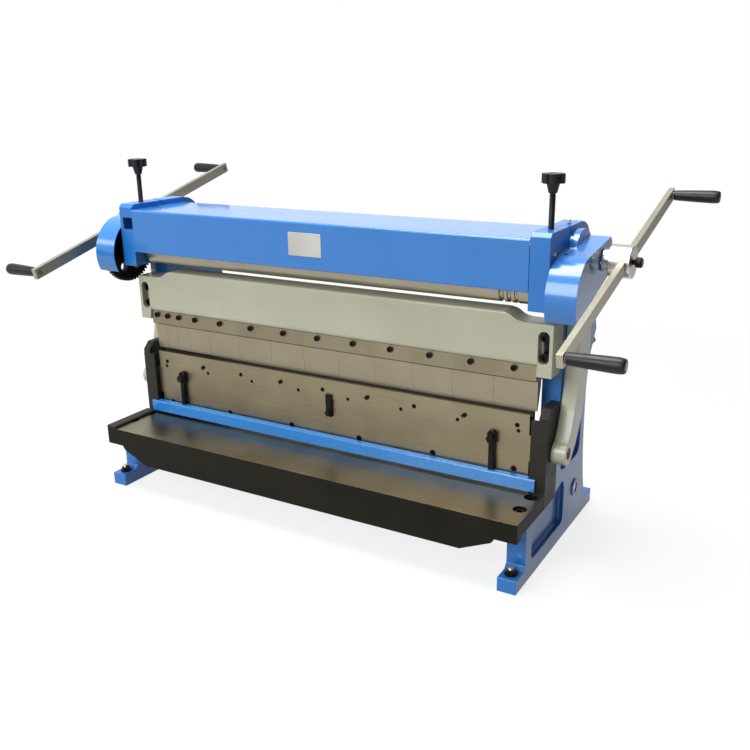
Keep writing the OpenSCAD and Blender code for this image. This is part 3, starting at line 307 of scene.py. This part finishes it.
# How the copies are merged and shaped
SHARP = math.radians(32)
FLAT = math.radians(0.6)
MERGE = 0.002 * MM
BEAM_MERGE = 0.2 * MM
TOUCH = 0.05 * MM
CAST_FILLET = 5.0 * MM
SHEET_BEND = 2.4 * MM
FILLET_STEPS = 4
BLOCK_CORNER = 3.2 * MM
BLOCK_NEAR_CORNER = 16.5 * MM
BLOCK_LONG_EDGE = 20 * MM
RECESS_FLOOR = FRAME_OUT - 12 * MM
OIL_HOLE = Vector((FRAME_OUT + 14 * MM, BEND_Y - 14 * MM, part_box("right_gear_cover")[0].z + 109 * MM))
OIL_HOLE_R, OIL_HOLE_DEEP = 4.7, 16
# Threads and fittings, in mm: the knob screws' span is above the floor, the rear screws' along their axis
SCREW_R, THREAD_ROOT, THREAD_PITCH = 6.0, 5.4, 1.75
KNOB_THREAD = (662, 752)
REAR_THREAD = (-253, -196)
FOOT_WASHER_R = 13.0
FOOT_STUD_SINK = 4.2
UP = Vector((0, 0, 1))
RIGHT = Vector((1, 0, 0))
KNOB_JOINT = {"left_knob_screw": "left_knob_turn", "right_knob_screw": "right_knob_turn"}
BODY_OF = {name: body for body, names in record["behaviour"]["bodies"].items() for name in names}


def only(piece):
    """Makes one piece the selected and active one."""
    bpy.ops.object.select_all(action="DESELECT")
    piece.select_set(True)
    bpy.context.view_layer.objects.active = piece


def finish_piece(piece, finish, body):
    """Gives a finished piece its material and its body."""
    piece.data.materials.clear()
    piece.data.materials.append(FINISH[finish])
    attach(piece, body)


def level_faces(piece):
    """Shades a piece so that flat faces stay flat and only the rounded edges turn the light."""
    only(piece)
    bpy.ops.object.shade_smooth_by_angle(angle=SHARP)
    level = piece.modifiers.new("level", "WEIGHTED_NORMAL")
    level.mode = "FACE_AREA"
    level.weight = 100
    level.keep_sharp = True
    bpy.ops.object.modifier_apply(modifier="level")


def pick(piece, test):
    """Selects, in edit mode, the points that pass a test on their place."""
    bpy.ops.mesh.select_all(action="DESELECT")
    bpy.ops.object.mode_set(mode="OBJECT")
    for point in piece.data.vertices:
        point.select = test(point.co)
    bpy.ops.object.mode_set(mode="EDIT")


def thin_shank(piece, joint):
    """Draws an upright screw's plain shank in to the root of its thread."""
    at = JOINT_AT[joint][0]
    pick(piece, lambda co: (co.xy - at.xy).length < (SCREW_R + 0.1) * MM)
    share = THREAD_ROOT / SCREW_R
    bpy.ops.transform.resize(value=(share, share, 1), center_override=at)


def soften_recess(piece):
    """Marks a casting's sharp edges for rounding, and fillets the floors of its side recesses."""
    bpy.ops.mesh.select_mode(type="EDGE")
    bpy.ops.mesh.select_all(action="DESELECT")
    bpy.ops.mesh.edges_select_sharp(sharpness=SHARP)
    bpy.ops.transform.edge_bevelweight(value=1)
    bpy.ops.mesh.select_mode(type="VERT")
    pick(piece, lambda co: abs(abs(co.x) - RECESS_FLOOR) < TOUCH)
    bpy.ops.mesh.region_to_loop()
    bpy.ops.transform.edge_bevelweight(value=-1)
    bpy.ops.mesh.bevel(offset=CAST_FILLET, segments=FILLET_STEPS, affect="EDGES")


def round_slide_blocks(piece):
    """Rounds the long corners of the rear roll's blocks, which run into the filleted ends of their slides."""
    bpy.ops.mesh.select_all(action="DESELECT")
    bpy.ops.mesh.select_mode(type="EDGE")
    bpy.ops.object.mode_set(mode="OBJECT")
    at, along = JOINT_AT["rear_roll_turn"][0], JOINT_AT["left_rear_screw_turn"][1]
    across = along.cross(RIGHT)
    for edge in piece.data.edges:
        ends = [piece.data.vertices[i].co - at for i in edge.vertices]
        edge.select = abs(ends[0].x - ends[1].x) > BLOCK_LONG_EDGE and all(
            min(abs(end.dot(along)), abs(end.dot(across))) > BLOCK_NEAR_CORNER for end in ends)
    bpy.ops.object.mode_set(mode="EDIT")
    bpy.ops.mesh.bevel(offset=BLOCK_CORNER, segments=FILLET_STEPS, affect="EDGES")
    bpy.ops.mesh.select_mode(type="VERT")


def bend_hood(piece):
    """Rounds the outside of the hood's lower front fold, where the sheet was bent under."""
    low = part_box("roll_cover")[0]
    pick(piece, lambda co: co.z < low.z + TOUCH and co.y < low.y + TOUCH)
    bpy.ops.mesh.bevel(offset=SHEET_BEND, segments=FILLET_STEPS, affect="EDGES")


def turned(name, sides, steps):
    """A turned shape on its own axis: a disc drawn up by steps, each a rise and the next radius in mm."""
    bpy.ops.object.select_all(action="DESELECT")
    radius = steps[0][1]
    bpy.ops.mesh.primitive_circle_add(vertices=sides, radius=radius * MM, fill_type="NGON")
    piece = bpy.context.object
    piece.name = name
    bpy.ops.object.mode_set(mode="EDIT")
    bpy.ops.mesh.select_all(action="SELECT")
    height = 0
    for rise, wide in steps[1:]:
        height += rise
        bpy.ops.mesh.extrude_region_move(TRANSFORM_OT_translate={"value": (0, 0, rise * MM)})
        share = wide / radius
        bpy.ops.transform.resize(value=(share, share, 1), center_override=(0, 0, height * MM))
        radius = wide
    bpy.ops.mesh.select_all(action="SELECT")
    bpy.ops.mesh.normals_make_consistent(inside=False)
    bpy.ops.object.mode_set(mode="OBJECT")
    return piece


def cut_oil_hole(piece):
    """Cuts the small oil hole through the top of the right gear cover."""
    drill = turned("oil_hole", 28, [(0, OIL_HOLE_R), (OIL_HOLE_DEEP, OIL_HOLE_R)])
    drill.location = OIL_HOLE
    bpy.ops.object.transform_apply(location=True, rotation=True, scale=True)
    only(piece)
    hole = piece.modifiers.new("hole", "BOOLEAN")
    hole.operation = "DIFFERENCE"
    hole.object = drill
    bpy.ops.object.modifier_apply(modifier="hole")
    bpy.data.objects.remove(drill)


def eased(node):
    """Copies a CAD node, merges its triangles, rounds its edges and shows the dressed copy in its stead."""
    finish, radius_mm, steps = DRESS[node]
    piece = bpy.data.objects.new("eased_" + node, frame["nodes"][node].data.copy())
    bpy.context.scene.collection.objects.link(piece)
    only(piece)
    bpy.ops.object.mode_set(mode="EDIT")
    bpy.ops.mesh.select_all(action="SELECT")
    bpy.ops.mesh.remove_doubles(threshold=BEAM_MERGE if node == "upper_beam" else MERGE)
    bpy.ops.mesh.dissolve_limited(angle_limit=FLAT)
    if node in KNOB_JOINT:
        thin_shank(piece, KNOB_JOINT[node])
    if node.endswith("side_frame"):
        soften_recess(piece)
    if node == "roll_cover":
        bend_hood(piece)
    if node == "rear_roll_blocks":
        round_slide_blocks(piece)
    bpy.ops.object.mode_set(mode="OBJECT")
    bpy.ops.mesh.customdata_custom_splitnormals_clear()
    if steps:
        rounding = piece.modifiers.new("edges", "BEVEL")
        rounding.limit_method = "WEIGHT" if node.endswith("side_frame") else "ANGLE"
        rounding.angle_limit = SHARP
        rounding.width = radius_mm * MM
        rounding.segments = steps
        rounding.use_clamp_overlap = node in NARROW
        rounding.miter_outer = "MITER_ARC"
        bpy.ops.object.modifier_apply(modifier="edges")
    if node == "right_gear_cover":
        cut_oil_hole(piece)
    level_faces(piece)
    finish_piece(piece, finish, BODY_OF[node])
    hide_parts(node)


for node_name in DRESS:
    eased(node_name)


# ---------------------------------------------------------------- fittings

def set_down(piece, place, along, finish, body):
    """Turns a finished fitting to its axis, sets it down at its place and dresses it."""
    only(piece)
    piece.matrix_world = Matrix.Translation(place) @ along.to_track_quat("Z", "Y").to_matrix().to_4x4()
    bpy.ops.object.transform_apply(location=True, rotation=True, scale=True)
    level_faces(piece)
    finish_piece(piece, finish, body)


def wound_thread(name, low_mm, high_mm, root, crest):
    """A screw thread from one tooth, wound up its axis by a Screw modifier, with both ends closed.

    The tooth is a triangle stood on edge beside the axis, with its point at the crest and its base at the root.
    """
    bpy.ops.object.select_all(action="DESELECT")
    bpy.ops.mesh.primitive_circle_add(vertices=3, radius=1)
    piece = bpy.context.object
    piece.name = name
    deep, half_base = (crest - root) * MM, 0.48 * THREAD_PITCH * MM
    piece.matrix_world = Matrix(((0, deep / 1.5, 0, root * MM + deep / 3), (0, 0, 1, 0),
                                 (half_base / math.cos(math.radians(30)), 0, 0, low_mm * MM), (0, 0, 0, 1)))
    bpy.ops.object.transform_apply(location=True, rotation=True, scale=True)
    wind = piece.modifiers.new("wind", "SCREW")
    wind.screw_offset = THREAD_PITCH * MM
    wind.iterations = round((high_mm - low_mm) / THREAD_PITCH)
    wind.steps = wind.render_steps = 20
    bpy.ops.object.modifier_apply(modifier="wind")
    bpy.ops.object.mode_set(mode="EDIT")
    bpy.ops.mesh.select_all(action="SELECT")
    bpy.ops.mesh.fill_holes(sides=4)
    bpy.ops.mesh.normals_make_consistent(inside=False)
    bpy.ops.object.mode_set(mode="OBJECT")
    return piece


def twin(piece, name):
    """A copy of a modelled fitting with a mesh of its own."""
    copy = bpy.data.objects.new(name, piece.data.copy())
    bpy.context.scene.collection.objects.link(copy)
    return copy


def knob_threads():
    """The threads of the two tall adjusting screws, from inside the heads up to the knobs."""
    at, along = JOINT_AT["left_knob_turn"]
    low, high = (level - at.z / MM for level in KNOB_THREAD)
    left = wound_thread("left_knob_thread", low, high, THREAD_ROOT - 0.1, SCREW_R - 0.05)
    right = twin(left, "right_knob_thread")
    set_down(left, at, along, "black_plastic", "left_knob")
    set_down(right, JOINT_AT["right_knob_turn"][0], along, "black_plastic", "right_knob")


def rear_threads():
    """The threads of the two lower screws behind the frames, between their heads and the lugs."""
    at, along = JOINT_AT["left_rear_screw_turn"]
    left = wound_thread("left_rear_thread", *REAR_THREAD, SCREW_R - 0.15, SCREW_R + 0.25)
    right = twin(left, "right_rear_thread")
    set_down(left, at, along, "black_oxide", "left_rear_screw_body")
    set_down(right, JOINT_AT["right_rear_screw_turn"][0], along, "black_oxide", "right_rear_screw_body")


def joined(body, other):
    """One piece from two, which keeps the first one's name."""
    only(body)
    other.select_set(True)
    bpy.ops.object.join()
    return body


def oil_nipple():
    """A grease nipple on top of the right head, over the crank bearing: hexagon, neck and ball tip."""
    nut = turned("oil_nipple", 6, [(0, 4.4), (0.4, 4.8), (3.2, 4.8), (0.4, 4.3)])
    tip = turned("tip", 20, [(0, 2.4), (4.6, 2.4), (0.6, 2.9), (1.4, 3.2), (1.4, 2.9), (1.0, 2.0), (0.3, 1.0)])
    place = Vector((FRAME_OUT - 11 * MM, CRANK_Y, HEAD_TOP))
    set_down(joined(nut, tip), place, UP, "zinc", "base")


def head_screw():
    """The bright hexagon screw and washer on the right head's outer face, above the gear cover."""
    washer = turned("head_screw", 28, [(0, 5.0), (0.2, 5.2), (0.8, 5.2), (0.2, 5.0)])
    head = turned("hexagon", 6, [(0, 4.1), (3.0, 4.1), (0.6, 3.5)])
    place = Vector((FRAME_OUT, BEND_Y - 39 * MM, HEAD_TOP - 41 * MM))
    set_down(joined(washer, head), place, RIGHT, "zinc", "base")


def foot_studs():
    """The bright stud ends that stand out of the front foot nuts, with three thread crests and a chamfer."""
    low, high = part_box("foot_bolts")
    crests = [step for _ in range(3) for step in ((0.7, 6.4), (0.7, 6.1))]
    stud = turned("foot_stud", 24, [(0, 6.1)] + crests + [(0.7, 5.2)])
    for side, x in (("left", low.x + FOOT_WASHER_R * MM), ("right", high.x - FOOT_WASHER_R * MM)):
        place = Vector((x, low.y + FOOT_WASHER_R * MM, high.z - FOOT_STUD_SINK * MM))
        set_down(twin(stud, side + "_foot_stud"), place, UP, "zinc", "base")
    bpy.data.objects.remove(stud)


knob_threads()
rear_threads()
foot_studs()
oil_nipple()
head_screw()


# ---------------------------------------------------------------- studio

# Turn, tilt and roll in degrees, place in metres, lens in mm
CAMERA_ANGLES = (30.462, 17.949, -0.794)
CAMERA_PLACE = Vector((1062.9, -1670.8, 936.5)) * MM
CAMERA_LENS = 42.03


def studio_floor():
    """A pale floor: white to the eye away from the machine, with the machine's soft shadow kept near it.

    In reflections it is dimmed towards the right, so that the right frame stays dark.
    """
    bpy.ops.object.select_all(action="DESELECT")
    bpy.ops.mesh.primitive_plane_add(size=60, location=(0, 0, -0.2 * MM))
    floor = bpy.context.object
    floor.name = "studio_floor"
    made, tree, shader, coords = start("matt_white_floor")
    ray = add(tree, "ShaderNodeLightPath").outputs
    seen = calc(tree, "MAXIMUM", ray["Is Camera Ray"], ray["Is Glossy Ray"])
    feed(tree, shader, Base_Color=blend(tree, seen, linear("#8A8A8A"), linear("#F4F4F4"), "RGBA"))
    fix(shader, Roughness=0.95, Specular_IOR_Level=0.1)
    reach = add(tree, "ShaderNodeVectorMath", {0: coords}, operation="LENGTH").outputs["Value"]
    fade = remap(tree, reach, (0.6, 2.2), (0.82, 1.0))
    dimmed = remap(tree, split(tree, coords)["X"], (0.5, 0.9), (1.0, 0.12))
    mirrored = calc(tree, "MULTIPLY", ray["Is Glossy Ray"], dimmed)
    bright = calc(tree, "MAXIMUM", ray["Is Camera Ray"], mirrored)
    share = calc(tree, "MULTIPLY", fade, bright)
    glow = add(tree, "ShaderNodeEmission", {"Color": linear("#FFFFFF"), "Strength": 1.0}).outputs["Emission"]
    mix = add(tree, "ShaderNodeMixShader", {0: share, 1: shader.outputs["BSDF"], 2: glow})
    tree.links.new(mix.outputs["Shader"], tree.nodes["Material Output"].inputs["Surface"])
    floor.data.materials.append(made)


def studio_world():
    """White to the eye; in reflections and as light on the machine it falls away towards the right."""
    world = bpy.data.worlds.new("studio_white")
    world.use_nodes = True
    tree = world.node_tree
    tree.nodes.clear()
    ray = add(tree, "ShaderNodeLightPath").outputs
    seen = calc(tree, "MAXIMUM", ray["Is Camera Ray"], ray["Is Glossy Ray"])
    seen = calc(tree, "MAXIMUM", seen, ray["Is Transmission Ray"])
    toward = split(tree, add(tree, "ShaderNodeTexCoord").outputs["Generated"])["X"]
    even = remap(tree, toward, (-0.2, 0.7), (0.34, 0.07))
    flag = remap(tree, toward, (0.05, 0.6), (1.0, 0.12))
    mirrored = blend(tree, ray["Is Glossy Ray"], 1.0, flag)
    light, white = (add(tree, "ShaderNodeBackground", {"Color": linear(tint), "Strength": strength})
                    for tint, strength in (("#F4F6FA", even), ("#FFFFFF", mirrored)))
    shown = {0: seen, 1: light.outputs["Background"], 2: white.outputs["Background"]}
    mix = add(tree, "ShaderNodeMixShader", shown)
    add(tree, "ShaderNodeOutputWorld", {"Surface": mix.outputs["Shader"]})
    bpy.context.scene.world = world


def softbox(name, place, aim, size, power):
    """One square area lamp, aimed at a point; metres and watts."""
    data = bpy.data.lights.new(name, "AREA")
    data.shape = "SQUARE"
    data.size = size
    data.energy = power
    lamp = bpy.data.objects.new(name, data)
    lamp.location = place
    lamp.rotation_euler = (Vector(aim) - Vector(place)).to_track_quat("-Z", "Y").to_euler()
    bpy.context.scene.collection.objects.link(lamp)


def photo_camera():
    """The photograph's viewpoint: place, turn, tilt and roll solved from the machine's straight edges."""
    turn, tilt, roll = (math.radians(angle) for angle in CAMERA_ANGLES)
    back = Vector((math.sin(turn) * math.cos(tilt), -math.cos(turn) * math.cos(tilt), math.sin(tilt)))
    level = Vector((math.cos(turn), math.sin(turn), 0))
    rise = back.cross(level)
    across = level * math.cos(roll) + rise * math.sin(roll)
    upward = rise * math.cos(roll) - level * math.sin(roll)
    axes = Matrix((across, upward, back)).transposed()
    data = bpy.data.cameras.new("photo_camera")
    data.sensor_width = 36
    data.lens = CAMERA_LENS
    camera = bpy.data.objects.new("photo_camera", data)
    camera.matrix_world = Matrix.Translation(CAMERA_PLACE) @ axes.to_4x4()
    bpy.context.scene.collection.objects.link(camera)
    bpy.context.scene.camera = camera


studio_floor()
studio_world()
softbox("overhead", (-0.4, -0.25, 3.4), (0, 0, 0.5), 1.9, 140)
softbox("front", (-0.7, -4.2, 2.6), (0, 0, 0.4), 2.6, 136)
softbox("left", (-2.4, -1.64, 1.46), (-0.585, -0.173, 0.598), 0.45, 3.5)
photo_camera()
bpy.context.scene.view_settings.view_transform = "Standard"
